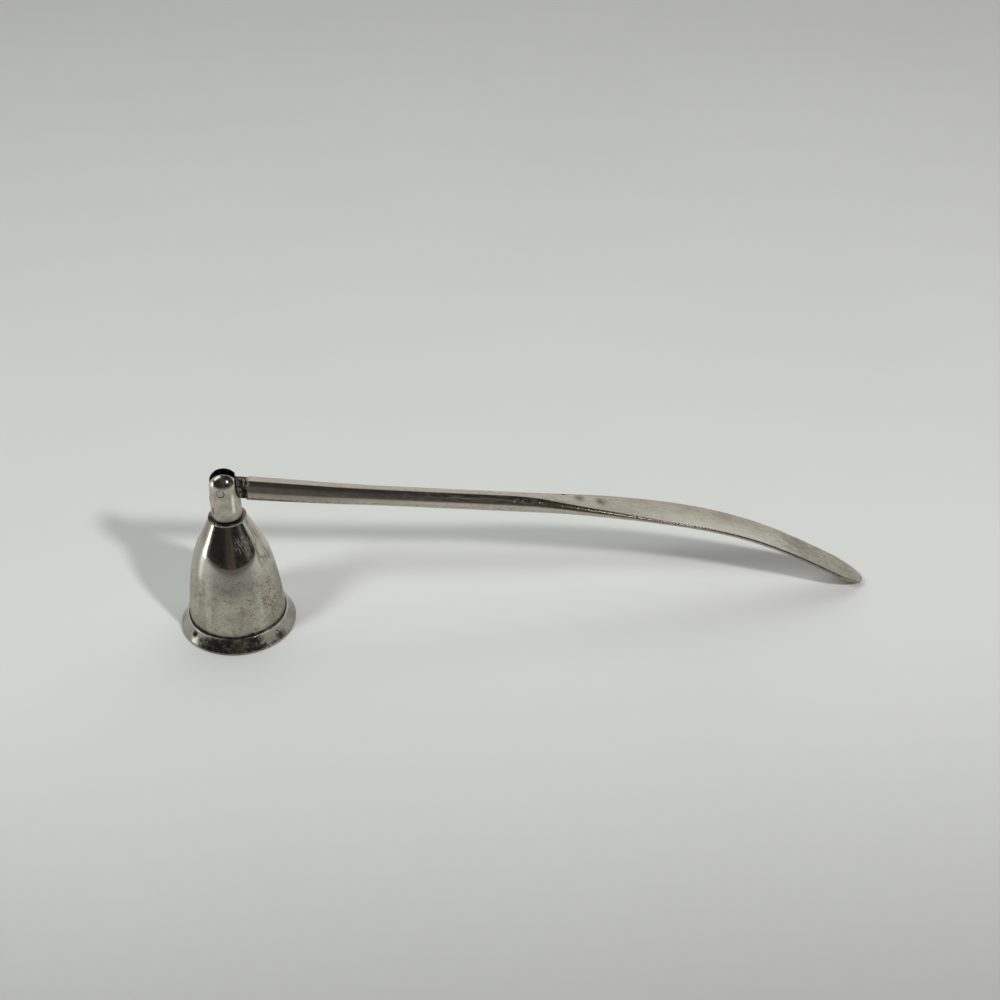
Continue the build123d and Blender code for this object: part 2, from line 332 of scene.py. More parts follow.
def new_finish(name):
    """An empty material and the place of each of its points in millimetres."""
    material = bpy.data.materials.new(name)
    material.use_nodes = True
    tree = material.node_tree
    tree.nodes.clear()
    place = Field(tree).node("ShaderNodeTexCoord", out="Object")
    scaled = {0: place, 3: 1 / MILLIMETRE}
    return material, place.node("ShaderNodeVectorMath", {"operation": "SCALE"}, scaled)


def turned_place(where, turn, stretch):
    """The place on axes turned by three angles in degrees, squeezed so that patterns run long along X."""
    angles = [math.radians(angle) for angle in turn]
    sockets = {"Vector": where, "Rotation": angles, "Scale": (stretch, 1.0, 1.0)}
    return where.node("ShaderNodeMapping", {"vector_type": "TEXTURE"}, sockets)


def hairlines(where, turn, spacing, stretch, width):
    """Thin scratches: the lines where a long stretched noise passes through its middle value."""
    level = noise(turned_place(where, turn, stretch), spacing, detail=1.0)
    return stripe(level - 0.5, width, 0.0)


def near(where, centre, reach):
    """A soft mask, 1 at a point and 0 from the given distance on, in millimetres."""
    return step(how_far(where, centre), reach, 0.0)


def lay(material, where, colour, roughness, relief, depth, metallic=1.0):
    """Joins the fields into a metal: the relief, from 0 to 1, stands the given depth in millimetres high.
    Where metallic is a little below 1, dust and scratches catch light even in a dark reflection."""
    height = {"Strength": 1.0, "Distance": depth * MILLIMETRE, "Height": relief}
    bump = where.node("ShaderNodeBump", None, height)
    sockets = {"Base Color": colour, "Metallic": metallic, "Roughness": roughness, "Normal": bump}
    shader = where.node("ShaderNodeBsdfPrincipled", None, sockets)
    where.node("ShaderNodeOutputMaterial", None, {"Surface": shader})
    print("finish", material.name, "with", len(where.tree.nodes), "nodes")
    return material


# %% [markdown]
# The cup is bright on its cone, where fingers and cloth reach, and cloudy below. The change is
# quick and a little ragged, so it follows the height plus some noise. Grime sits above the ring's
# groove, and a patch of fine scratches lies on the right of the cone. Rubbing leaves upright bands,
# bright or brown: the distance from a plane through the bell's axis is a sum of x and y, so a
# stripe of such a sum makes a band. Some light and shade is painted in: a near-white strip on the
# left of the cone is a painted reflection, and the low sides and the front of the body are painted
# darker as shade.

# %% Cup finish
cup_polish = (23.0, 28.0)           # heights between which the cloudy body turns into the bright cone
cup_specks = (30.0, 26.0)           # heights between which the specks begin, from above
groove_grime = (6.6, 5.0)           # heights between which grime gathers over the ring, from above
pitted_right, pitted_left = (12.8, -8.0, 15.0), (-11.0, -9.0, 19.0)
scratched_place = (4.4, -7.9, 36.6)


def make_cup_finish():
    """Tarnish that thins with height, then bands, pits and grime, a cone crossed by scratches, and painted
    reflection and shade.
    """
    material, where = new_finish("cup_plate")
    x, y, height = parts(where)
    cloud = noise(where, 7.0, 3.0)
    mottle = noise(where, 2.0, 6.0, 0.70)
    grain = noise(where, 0.60, 3.0, 0.75)
    film = step(mottle * 0.6 + cloud * 0.6, 0.42, 0.82)
    ragged_height = height + (cloud - 0.5) * 3.0
    dull = 1.0 - step(ragged_height, *cup_polish)
    clouded = step(ragged_height, *cup_specks)

    # Grime, specks and pits
    grimy = either(step(noise(where, 3.0), 0.44, 0.60), step(x, -1.0, -8.0))
    low_grime = step(height + (mottle - 0.5) * 5.0, *groove_grime) * grimy
    specks = step(grain, 0.42, 0.66) * clouded
    pits = step(mottle * 0.45 + grain * 0.55, 0.55, 0.62) * clouded
    right_pits = step(grain * 0.7 + mottle * 0.3, 0.49, 0.56) * near(where, pitted_right, 13.0)
    left_pits = step(grain * 0.6 + mottle * 0.4, 0.49, 0.58) * near(where, pitted_left, 7.0)

    # Bands and films that rubbing has left, and painted reflection and shade
    from_shine = y * 0.72 - x * 0.69 - 0.9 + (mottle - 0.5) * 1.2
    # A strip on the left of the cone, polished and painted near-white: a painted reflection of a bright place
    # on the left.
    left_painted_reflection = stripe(from_shine, 1.5, 0.2) * within(height, 22.0, 29.0, 33.0, 36.5)
    past_left = step(from_shine, 0.2, 1.1) * step(height, 22.0, 28.0)
    in_front = stripe(x - 0.5, 9.5, 5.0) * step(y, -2.0, -6.0)
    # In front, below the cone, the body is painted greyer: painted shade for the darker table that it
    # reflects.
    front_painted_shade = within(height, 17.0, 24.0, 27.5, 30.5) * in_front
    # The low sides of the body are painted browner as shade.
    low_sides_painted_shade = step(height, 13.0, 5.5) * step(abs(x), 5.0, 12.5)
    right_edge = step(x + y * 0.5, 7.5, 13.0) * dull
    left_band, right_band = stripe(y * 0.565 + x * 0.825, 2.2, 0.5), stripe(x * 0.827 - y * 0.562, 2.0, 0.5)
    bands = either(left_band, right_band) * dull
    right_cone = step(x + y * 0.6, 3.2, 5.0) * step(height, 25.0, 30.0)
    streaks = noise(turned_place(where, (0, 63, -28), 7.0), 0.9, 5.0, 0.65)
    peeled = step(streaks, 0.44, 0.60) * right_cone

    # Scratches
    scratches = either(
        hairlines(where, (10, 55, 20), 0.5, 22.0, 0.010),
        hairlines(where, (0, 70, 60), 0.6, 18.0, 0.010),
    )
    crossed = either(
        hairlines(where, (0, 55, -25), 0.5, 40.0, 0.030),
        hairlines(where, (0, 58, -75), 0.5, 40.0, 0.030),
    )
    rubbed = step(near(where, scratched_place, 6.0) + (mottle - 0.5), 0.1, 0.9)
    patch = (0.03 + crossed * 0.97) * rubbed
    lines = hairlines(where, (0, 90, 0), 0.9, 30.0, 0.012) * dull

    left_brown = past_left * (0.36 + step(height, 34.0, 39.0) * 0.25 + film * 0.2)
    right_brown = right_cone * 0.12 + peeled * 0.65
    colour = coats(
        blend(0.35 + dull * (0.25 + film * 0.4), bright_silver, cloudy_silver),
        (dull * film * 0.32 + specks * 0.40, brown_tarnish),
        (bands * 0.40, bright_silver),
        (either(left_brown, right_brown), brown_tarnish),
        # Painted shade on the low sides of the body, and a browner right edge.
        (either(low_sides_painted_shade * 0.35, right_edge * 0.30), brown_tarnish),
        # Painted shade in front of the body.
        (front_painted_shade * 0.45, grey_tarnish),
        # Painted reflection on the left of the cone.
        (left_painted_reflection * 0.75, painted_highlight_silver),
        (either(pits * 0.75, right_pits, left_pits), brown_tarnish),
        (low_grime * 0.9, black_grime),
    )
    worn_dull = dull * (1.0 - left_painted_reflection * 0.5)
    roughness = 0.055 + worn_dull * (0.25 + film * 0.10 + grain * 0.06) + patch * 0.35
    roughness = roughness + scratches * 0.08 + low_grime * 0.2 + peeled * 0.10
    relief = grain * dull * 0.5 - pits * 0.5 - peeled * 0.3 - scratches * 0.5 - lines * 0.4 - patch * 0.4
    metallic = 0.997 - patch * 0.30 - scratches * 0.12
    return lay(material, where, colour, roughness, relief, 0.006, metallic)


cup_plate = make_cup_finish()

# %% [markdown]
# The ring is harder to reach with a cloth on its inside edge, so grime fills its groove, while its
# flare is glossy with darker, browner blotches. Hands rub its lip bright in front, and there it is
# painted lighter still as the lip's highlight. A worn patch on the right, which also carries a
# painted highlight, and a dark spot on the left are places on the ring, so each is a mask round a
# point, made ragged with noise so that no disc shows.

# %% Ring finish
# The lip is rubbed bright, and painted lighter still in front as its highlight.
lip_heights = (4.70, 4.90)          # heights between which the rubbed lip begins
worn_highlight_place, dark_place = (10.3, -13.9, 3.6), (-13.8, -10.6, 3.6)


def make_ring_finish():
    """Grey tarnish with rubbed blotches, lifted on the lip and in a worn patch, both partly painted
    highlights, black in pits and foot.
    """
    material, where = new_finish("ring_plate")
    x, y, height = parts(where)
    cloud = noise(where, 5.0, 3.0)
    mottle = noise(where, 1.4, 6.0, 0.70)
    grain = noise(where, 0.55, 3.0, 0.7)
    film = step(mottle * 0.5 + cloud * 0.7, 0.48, 0.82)
    rubs = step(mottle * 0.7 + cloud * 0.3, 0.50, 0.58)
    pits = step(mottle * 0.4 + grain * 0.6, 0.55, 0.64)
    foot_grime = step(height + (mottle - 0.5) * 1.2, 1.1, 0.1)
    scratches = hairlines(where, (0, 15, 25), 0.5, 16.0, 0.012)
    # Where the lip is rubbed and painted with a highlight: in front, less at its middle.
    rubbed = step(abs(x), 2.0, 4.5) * (0.25 + step(y, -8.0, -11.0) * 0.75)
    lip_painted_highlight = step(height, *lip_heights) * rubbed
    # A worn patch on the right, lightened in colour as a painted highlight as well.
    worn_patch_and_highlight = step(near(where, worn_highlight_place, 7.0) + (grain + mottle - 1.0) * 1.4, 0.10, 1.05)
    dark_spot = step(near(where, dark_place, 2.2) + (mottle - 0.5) * 2.0, 0.35, 0.75)
    right_side = step(x, 13.5, 16.5) * 0.25 - step(x, 7.0, 12.0) * 0.20
    grey = 0.55 + either(pits * 0.35, film * 0.2) - rubs * 0.45 + right_side
    colour = coats(
        blend(film * 0.6 + 0.4, bright_silver, cloudy_silver),
        (grey * (1.0 - lip_painted_highlight * 0.9) * (1.0 - worn_patch_and_highlight * 0.8), grey_tarnish),
        (either(pits * 0.5, dark_spot), black_grime),
        # Painted highlight on the lip.
        (lip_painted_highlight * 0.85, painted_highlight_silver),
        (foot_grime * 0.7, black_grime),
    )
    roughness = 0.10 + film * 0.14 + pits * 0.12 + scratches * 0.1
    roughness = roughness + foot_grime * 0.2 + worn_patch_and_highlight * 0.25
    relief = grain * 0.35 - pits * 0.4 - scratches * 0.5
    metallic = 0.985 - worn_patch_and_highlight * 0.24 - rubs * 0.07
    return lay(material, where, colour, roughness, relief, 0.005, metallic)


ring_plate = make_ring_finish()

# %% [markdown]
# The post is satin up its straight side and polished on its dome by the hand that folds the handle
# over; an upright bright streak on its right side is a painted highlight. The pin is dressed flush, so
# only a thin dark ring shows it: a stripe of the distance from the pin's axis, at the pin's radius.
# Inside the slot the black is old grime and painted shade of the deep slot, and old grime is black in
# the corner at the foot.

# %% Post finish
pin_x, pin_height, pin_radius = -1.0, 55.1, 1.25
slot_half, slot_foot = 1.5, (50.0, 50.6)
collar_top, dome_height = 43.5, 55.95
highlight_streak_place, nick_place = (2.7, 50.5), (-3.95, 47.5)       # x and height


def make_post_finish():
    """Satin that turns to polish on the dome, with a painted highlight streak, and black round pin, slot and
    foot, the slot's black partly painted shade.
    """
    material, where = new_finish("post_plate")
    x, y, height = parts(where)
    cloud = noise(where, 3.5, 3.0)
    mottle = noise(where, 1.1, 5.0, 0.68)
    grain = noise(where, 0.6, 3.0, 0.7)
    film = step(mottle * 0.6 + cloud * 0.6, 0.42, 0.80)
    dull = 1.0 - step(height + (cloud - 0.5) * 1.6, dome_height - 1.6, dome_height + 2.6)
    pits = step(mottle * 0.4 + grain * 0.6, 0.58, 0.68) * dull
    scratches = hairlines(where, (0, 80, 15), 0.5, 18.0, 0.012)

    from_pin = ((x - pin_x) ** 2.0 + (height - pin_height) ** 2.0) ** 0.5
    pin_ring = stripe(from_pin - pin_radius, 0.26, 0.10) * (0.40 + step(x - height, -56.9, -55.2) * 0.60)
    # A painted highlight: a near-white upright streak on the post's right side, standing for a reflected
    # light.
    streak = stripe(x - highlight_streak_place[0], 0.6, 0.2) * stripe(height - highlight_streak_place[1], 4.5, 2.5)
    streak = streak * step(y, -2.0, -3.0)
    nick = stripe(x - nick_place[0], 0.35, 0.15) * stripe(height - nick_place[1], 1.7, 1.0)
    nick = nick * step(y, -1.0, -2.0)
    # Inside the slot: black that is partly old grime and partly painted shade of the deep slot.
    in_slot = stripe(y - 0.13, slot_half + 0.18, slot_half + 0.15) * step(height, *slot_foot)
    slot_grime_and_shade = in_slot * (1.0 - step(mottle, 0.52, 0.66) * 0.30)
    corner = step(height + (mottle - 0.5) * 0.6, collar_top + 0.35, collar_top)

    colour = coats(
        blend(dull * (0.5 + film * 0.5), bright_silver, cloudy_silver),
        (either(pits * 0.75, dull * (0.05 + film * 0.26)), brown_tarnish),
        # Painted highlight streak.
        (streak * 0.8, painted_highlight_silver),
        # Black at the pin's ring, in the slot as grime and painted shade, in the foot's corner and at a nick.
        (either(pin_ring * 0.9, slot_grime_and_shade, corner * 0.45, nick * 0.8), black_grime),
    )
    roughness = 0.19 + dull * (0.10 + film * 0.10 + grain * 0.08) - streak * 0.10 + in_slot * 0.4
    roughness = roughness + corner * 0.15 + scratches * 0.06
    relief = grain * dull * 0.5 - pits * 0.4 - scratches * 0.4 - pin_ring * 0.8 + in_slot * mottle * 2.0
    return lay(material, where, colour, roughness, relief, 0.006)


post_plate = make_post_finish()

# %% [markdown]
# The collar lies flat round the foot of the post, where no cloth can follow. It is brown, with
# black in the corner, a black crescent on its left and a few painted glints on its edge. The distance
# from the post's axis tells corner from edge.

# %% Collar finish
post_radius = 4.9
crescent_place = (-5.6, -1.6, collar_top)


def make_collar_finish():
    """Brown that goes to black by the distance from the post, with painted glints on the edge."""
    material, where = new_finish("collar_plate")
    x, y = parts(where)[:2]
    mottle = noise(where, 1.2, 5.0, 0.68)
    grain = noise(where, 0.5, 3.0, 0.7)
    film = step(mottle, 0.38, 0.62)
    from_axis = (x ** 2.0 + y ** 2.0) ** 0.5
    corner = step(from_axis + (mottle - 0.5) * 0.8, post_radius + 0.40, post_radius + 0.05)
    # Painted glints: bright flecks of colour on the collar's edge.
    painted_glints = step(from_axis, post_radius + 0.9, post_radius + 1.15) * step(mottle, 0.50, 0.58)
    scratches = hairlines(where, (0, 0, 20), 0.4, 10.0, 0.02)
    colour = coats(
        blend(0.55 + film * 0.25, cloudy_silver, brown_tarnish),
        (0.20 + film * 0.40, black_grime),
        # Painted glints.
        (painted_glints * 0.7, bright_silver),
        (either(corner * 0.4, near(where, crescent_place, 3.0)), black_grime),
    )
    roughness = 0.20 + film * 0.15 + corner * 0.2 + scratches * 0.08
    relief = grain * 0.4 - scratches * 0.4
    return lay(material, where, colour, roughness, relief, 0.005)


collar_plate = make_collar_finish()

# %% [markdown]
# The handle was forged and filed along its length, so its scratches run that way. The blade is
# cloudier than the rod, with a few dark spots where drops of wax sat. The tongue in the hinge has
# never been cleaned: it is black, partly grime and partly painted shade of the slot, with streaks of
# solder. The rod is browner underneath, partly tarnish and partly painted shade, and the blade's
# edge carries a painted dark band, painted glints and a painted lighter near side. The blade has a
# top and an edge, so the mesh carries a value named upper, from -1 underneath to 1 on top, which
# follows the surface as no straight axis can.

# %% Handle finish
rod_start_x = 7.3
wax_spots = (((114.3, 0.9, 41.7), 3.0), ((121.3, 0.2, 40.3), 3.2))      # place and reach of each
stain_place, dent_place = (163.5, 3.4, 28.8), (109.1, 2.6, 42.6)


def make_handle_finish():
    """Streaky tarnish along the length, set apart by rod and blade, top and belly, near and far side, with
    painted shade below and painted highlights on the edge.
    """
    material, where = new_finish("handle_plate")
    x, y = parts(where)[:2]
    upper = where.node("ShaderNodeAttribute", {"attribute_name": "upper"}, out="Fac")
    cloud = noise(where, 14.0, 2.0)
    streak = noise(turned_place(where, (0, 12, 0), 6.0), 1.0, 5.0, 0.66)
    mottle = noise(where, 1.2, 5.0, 0.70)
    grain = noise(where, 0.6, 3.0, 0.7)
    film = step(streak * 0.45 + mottle * 0.35 + cloud * 0.35, 0.42, 0.76)
    pits = step(mottle * 0.4 + grain * 0.6, 0.57, 0.67)

    # Top, belly, sides and tip
    blade = step(x, 92.0, 135.0)
    rod = 1.0 - blade
    # Underneath and along the belly, browner: partly tarnish and partly painted shade for the darker
    # reflection below.
    under = step(upper, 0.25, -0.45) * (0.34 + step(x, 70.0, 20.0) * 0.35)
    under = under * (0.75 + step(mottle, 0.46, 0.60) * 0.5)
    belly_band = within(upper, -0.5, -0.1, 0.25, 0.45) * step(x, 75.0, 20.0)
    far_line = step(upper, 0.94, 0.86) * step(y, 0.8, 1.5) * rod
    # Below the blade's top face, browner: partly grime and partly painted shade for the dim room and shadow
    # its side reflects.
    edge = step(upper, 0.93, 0.80) * step(x, 112.0, 150.0)
    # Painted highlight: the near side of the blade's top is lightened towards the tip.
    near_side = step(y, 2.5, -5.0) * within(x, 128.0, 150.0, 180.0, 194.0)
    far_side = step(y, -1.0, 5.2) * blade
    tip = step(x + (cloud - 0.5) * 16.0 + (streak - 0.5) * 30.0, 175.0, 193.0)
    # A strip along the near edge painted with bright glints and darker gaps between them: painted highlights
    # of a lamp in the nicks.
    along_edge = step(y, -4.9, -5.2) * step(upper, 0.5, 0.7) * within(x, 141.0, 149.0, 157.0, 164.0)
    painted_bead_glints = step(x.sum("SINE", x * 5.6) + (streak - 0.5) * 4.0, 0.0, 0.6) * along_edge

    # Spots, dirt and scratches
    spots = either(*(near(where, place, reach) for place, reach in wax_spots)) * step(mottle, 0.22, 0.50)
    spots = either(spots, near(where, stain_place, 7.0) * 0.35)
    dent = step(near(where, dent_place, 1.3), 0.15, 0.35)
    # The tongue and the rod's end are painted black: partly old crust and partly painted shade of the slot.
    crust_and_shade = step(x + (mottle - 0.5) * 0.8, rod_start_x + 0.35, rod_start_x - 0.05)
    drips = noise(turned_place(where, (0, 90, 0), 3.5), 0.55, 4.0, 0.7)
    solder = step(drips, 0.50, 0.60) * crust_and_shade * step(x, 2.5, 5.5)
    scratches = either(
        hairlines(where, (0, 12, 3), 0.35, 40.0, 0.014),
        hairlines(where, (0, 16, -9), 0.6, 30.0, 0.010),
    )
    cross = hairlines(where, (0, 0, 60), 0.9, 20.0, 0.008)
    dust = step(grain * 0.55 + streak * 0.45, 0.50, 0.57) * step(x, 25.0, 80.0) * rod
    haze = step(upper, 0.92, 0.25) * step(x, 85.0, 15.0) * (0.6 + step(mottle, 0.44, 0.60) * 0.8)

    colour = coats(
        blend(0.45 + film * 0.40, bright_silver, cloudy_silver),
        (film * (0.10 + blade * 0.16) + far_side * 0.10, brown_tarnish),
        # Painted lighter near side of the blade.
        (near_side * 0.75, bright_silver),
        (tip * (0.24 + film * 0.45 + pits * 0.30), brown_tarnish),
        # Below the top and underneath: tarnish, grime and painted shade.
        (either(pits * 0.35, spots, under, belly_band * 0.6, edge * 0.5), brown_tarnish),
        (far_line * 0.55, brown_tarnish),
        # Painted glints on the near edge and the darker gaps between them.
        (along_edge * 0.25, brown_tarnish),
        (painted_bead_glints * 0.8, painted_highlight_silver),
        # Black at the tongue: crust and painted shade.
        (either(dent, crust_and_shade), black_grime),
        (solder * 0.75, cloudy_silver),
    )
    roughness = 0.07 + blade * 0.16 + film * (0.04 + blade * 0.06)
    roughness = roughness + pits * 0.06 + scratches * 0.04 + crust_and_shade * 0.4
    relief = grain * 0.35 - pits * 0.4 - scratches * 0.5 - cross * 0.4 + crust_and_shade * mottle * 3.0
    metallic = 0.995 - dust * 0.13 - haze * 0.15
    return lay(material, where, colour, roughness, relief, 0.006, metallic)


handle_plate = make_handle_finish()

# %% [markdown]
# The screw and its washer hide inside the bell, in the soot of many candles. They are bare brass
# gone brown. A plain brown would do for pieces so well hidden, but soot and scratches cost only a
# few nodes and hold up when the bell is turned over.

# %% Fixings finish
aged_brass = (0.50, 0.36, 0.16, 1.0)
soot = (0.035, 0.030, 0.026, 1.0)


def make_fixings_finish():
    """Aged brass under blotches of soot."""
    material, where = new_finish("fixings")
    cloud = noise(where, 2.0, 4.0, 0.6)
    grain = noise(where, 0.2, 3.0, 0.7)
    sooty = step(cloud, 0.40, 0.66)
    scratches = hairlines(where, (0, 0, 30), 0.4, 12.0, 0.02)
    colour = blend(sooty * 0.8, aged_brass, soot)
    roughness = 0.28 + sooty * 0.35 + scratches * 0.1
    relief = grain * 0.5 - scratches * 0.5
    return lay(material, where, colour, roughness, relief, 0.008)


fixings = make_fixings_finish()

# %% [markdown]
# ## Turned pieces
# The cup and the ring are round, so each is one outline carried once round the upright axis. A CAD
# mesh has long flat triangles that a mirror would show, so these two get a closer grid here. The
# outline is drawn with sharp corners first, and then worn: it is averaged along its own length, as
# rubbing does to every edge at once.

# %% Outlines and grids
def straight(first, last, count=40):
    """Points on a line: the first plus a growing share of the way to the last."""
    share = np.linspace(0, 1, count)[:, None]
    return np.array(first) + share * (np.array(last) - np.array(first))


def arc(centre, radius, first, last, count=90):
    """Points on a circle between two directions: x = cx + r cos a, z = cz + r sin a."""
    angle = np.linspace(first, last, count)
    return np.array(centre) + radius * np.stack([np.cos(angle), np.sin(angle)], axis=1)


def bowed(first, last, bow, count=80):
    """A line that swells to its right: a straight line plus 4 t (1 - t) times the bow, t from 0 to 1."""
    share = np.linspace(0, 1, count)[:, None]
    along = np.array(last, float) - np.array(first, float)
    right = np.array([along[1], -along[0]]) / np.hypot(*along)
    return straight(first, last, count) + right * bow * 4 * share * (1 - share)


def eased_corner(before, corner, after, reach, count=20):
    """A curve that rounds a corner: (1-t)(1-t) start + 2t(1-t) corner + t t end. It starts one reach before
    the corner and ends one reach after it."""
    corner = np.array(corner, float)
    back, onward = np.array(before) - corner, np.array(after) - corner
    start = corner + back / np.hypot(*back) * reach
    end = corner + onward / np.hypot(*onward) * reach
    t = np.linspace(0, 1, count)[:, None]
    return (1 - t) ** 2 * start + 2 * t * (1 - t) * corner + t ** 2 * end


fine_step = 0.02                    # millimetres between points while an outline is worn
turn_step = math.radians(9)         # how far an outline turns from one kept point to the next


def worn(outline, wear, stride):
    """A closed outline with its corners rubbed round: points a fine step apart are averaged with a bell curve
    as wide as the wear, then thinned so that they stand a stride apart on straight runs and closer where the
    line turns."""
    closed = np.vstack([outline, outline[:1]])
    length = np.concatenate([[0], np.cumsum(np.hypot(*np.diff(closed, axis=0).T))])
    count = int(length[-1] / fine_step)
    place = np.linspace(0, length[-1], count, endpoint=False)
    line = np.stack([np.interp(place, length, closed[:, axis]) for axis in (0, 1)], axis=1)
    wave = np.fft.fftfreq(count, length[-1] / count)
    soften = np.exp(-2 * (np.pi * wave * wear) ** 2)[:, None]
    line = np.fft.ifft(np.fft.fft(line, axis=0) * soften, axis=0).real
    tangent = np.roll(line, -1, axis=0) - np.roll(line, 1, axis=0)
    heading = np.unwrap(np.arctan2(tangent[:, 1], tangent[:, 0]))
    turn = np.abs(np.gradient(heading))
    crowd = np.cumsum(length[-1] / count / stride + turn / turn_step)
    want = np.linspace(crowd[0], crowd[-1], int(crowd[-1]), endpoint=False)
    return np.stack([np.interp(want, crowd, line[:, axis]) for axis in (0, 1)], axis=1)


def turned(outline, steps):
    """A grid of points, outline by angle: x = r cos a, y = r sin a, z = h."""
    angle = np.linspace(0, 2 * np.pi, steps, endpoint=False)
    radius, height = outline[:, :1], outline[:, 1:]
    return np.stack([radius * np.cos(angle), radius * np.sin(angle), height + 0 * angle], axis=-1)


sharp_angle = math.radians(40)      # edges that turn more than this stay crisp
merge_gap = 0.001                   # millimetres


def skin(name, rows, loop, upper=None):
    """A mesh over a grid of points in millimetres: each point joins the next in its row and the one in the
    next row. Rows close on themselves, and with loop the last row joins the first. Points that coincide are
    merged. Upper can give each point a value from -1, underneath, to 1, on top, which a finish can read."""
    count, around = rows.shape[:2]
    index = np.arange(count * around).reshape(count, around)
    index = np.concatenate([index, index[:, :1]], axis=1)
    if loop:
        index = np.concatenate([index, index[:1]], axis=0)
    corners = [index[:-1, :-1], index[:-1, 1:], index[1:, 1:], index[1:, :-1]]
    quads = np.stack(corners, axis=-1).reshape(-1, 4)
    mesh = bpy.data.meshes.new(name)
    mesh.from_pydata((rows.reshape(-1, 3) * MILLIMETRE).tolist(), [], quads.tolist())
    if upper is not None:
        mesh.attributes.new("upper", "FLOAT", "POINT").data.foreach_set("value", upper.ravel())
    shaped = bmesh.new()
    shaped.from_mesh(mesh)
    bmesh.ops.remove_doubles(shaped, verts=shaped.verts, dist=MILLIMETRE * merge_gap)
    bmesh.ops.recalc_face_normals(shaped, faces=shaped.faces)
    shaped.to_mesh(mesh)
    shaped.free()
    mesh.shade_smooth()
    mesh.set_sharp_from_angle(angle=sharp_angle)
    made = bpy.data.objects.new(name, mesh)
    scene.collection.objects.link(made)
    print(name, len(mesh.vertices), "points", len(mesh.polygons), "faces")
    return made


def dress(piece, material, body, slot, *nodes):
    """Gives a piece its finish and its moving body, and hides the CAD nodes it stands for. The slot is not
    used.
    """
    piece.data.materials.append(material)
    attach(piece, body)
    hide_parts(*nodes)


print("outlines: straight, arc, bowed, eased_corner, worn; grids: turned, skin")

# %% [markdown]
# The cup was spun over a wooden form: a skirt that drops into the ring, a bowed body, a slow turn
# into the cone and a flat crown with a hole for the post's spigot. The body and the turn are arcs
# that touch without a crease, so the inner wall is the same arcs with smaller radii. Spinning by
# hand leaves the surface a hair out of true, which bends the reflections a little, so slow waves
# are added to the radius.

# %% Bell cup
cup_wall = 1.0
skirt_radius, skirt_foot, ring_height = 15.9, 2.0, 5.0
break_radius, break_height = 12.05, 30.9
body_bow = 0.55
break_blend = 44.0
crown_radius, cup_height = 6.0, 42.9
crown_hole = 3.25
cup_wear, cup_stride, cup_steps = 0.06, 0.55, 240
cup_wave, cup_wave_height = 9.0, 0.020


def cup_side(inset):
    """The outside line of the cup from its skirt to its crown, moved in by the given inset. The body is the
    circle through the skirt's top and the break that swells by the bow. The turn is the circle inside it that
    touches both the body and the cone: its centre is (body radius - blend) from the body's centre and one
    blend from the cone."""
    low, high = np.array([skirt_radius, ring_height]), np.array([break_radius, break_height])
    chord = np.hypot(*(high - low))
    body_radius = chord**2 / 8 / body_bow + body_bow / 2
    inward = np.array([low[1] - high[1], high[0] - low[0]]) / chord
    body_centre = (low + high) / 2 + inward * (body_radius - body_bow)
    cone_run = np.array([crown_radius - break_radius, cup_height - break_height])
    cone_run /= np.hypot(*cone_run)
    cone_out = np.array([cone_run[1], -cone_run[0]])
    guide = high - cone_out * break_blend - body_centre
    along = guide @ cone_run
    slide = -along - math.sqrt(along**2 - guide @ guide + (body_radius - break_blend) ** 2)
    turn_centre = body_centre + guide + slide * cone_run
    start = math.atan2(*(low - body_centre)[::-1])
    meet = math.atan2(*(turn_centre - body_centre)[::-1])
    lean = math.atan2(cone_out[1], cone_out[0])
    body = arc(body_centre, body_radius - inset, start, meet)
    turn = arc(turn_centre, break_blend - inset, meet, lean)
    crown_level = cup_height - inset
    crown_edge = turn[-1] + cone_run * (crown_level - turn[-1, 1]) / cone_run[1]
    foot = straight((skirt_radius - inset, skirt_foot), body[0])
    crown = straight(crown_edge, (crown_hole, crown_level))
    return np.vstack([foot[:-1], body, turn[1:], straight(turn[-1], crown_edge)[1:], crown[1:]])


wave_count = 5
draws = np.random.default_rng(11)


def waves(points, size, height):
    """Slow ripples: the mean of a few sine waves of random direction, each with the given size and height in
    millimetres."""
    heading = draws.normal(size=(wave_count, 3))
    heading /= np.linalg.norm(heading, axis=1, keepdims=True)
    phase = draws.uniform(0, 2 * np.pi, wave_count)
    return height * np.sin(points @ heading.T * (2 * np.pi / size) + phase).mean(axis=-1)


def out_of_true(grid, size, height):
    """A turned grid with waves on its radius r: x and y are multiplied by 1 + wave / r."""
    ripple = 1 + waves(grid, size, height) / np.hypot(grid[..., 0], grid[..., 1])
    return np.concatenate([grid[..., :2] * ripple[..., None], grid[..., 2:]], axis=-1)


cup_outline = np.vstack([cup_side(0.0), cup_side(cup_wall)[::-1]])
cup_grid = turned(worn(cup_outline, cup_wear, cup_stride), cup_steps)
bell_cup = skin("cup_shell", out_of_true(cup_grid, cup_wave, cup_wave_height), loop=True)
dress(bell_cup, cup_plate, "bell", "cup_plate", "bell_cup")

# %% [markdown]
# The ring was turned from bar: a hollowed flare, a narrow lip, a groove in front of the cup, and
# inside a ledge that carries the edge of the cup. Its foot is flat. It could be four bevelled
# cylinders, but one outline needs no joining, and the same wear rounds all its edges.

# %% Rim ring
ring_radius, ring_top_radius = 19.0, 16.8
ring_seat, ring_bore = 15.95, 14.9
groove_width, groove_depth = 0.22, 0.7
ledge_height, foot_bevel, foot_round, foot_land = 2.0, 0.4, 0.5, 0.3
flare_hollow = 0.1
ring_wear, ring_stride, ring_steps = 0.035, 0.30, 288
ring_wave, ring_wave_height = 7.0, 0.015

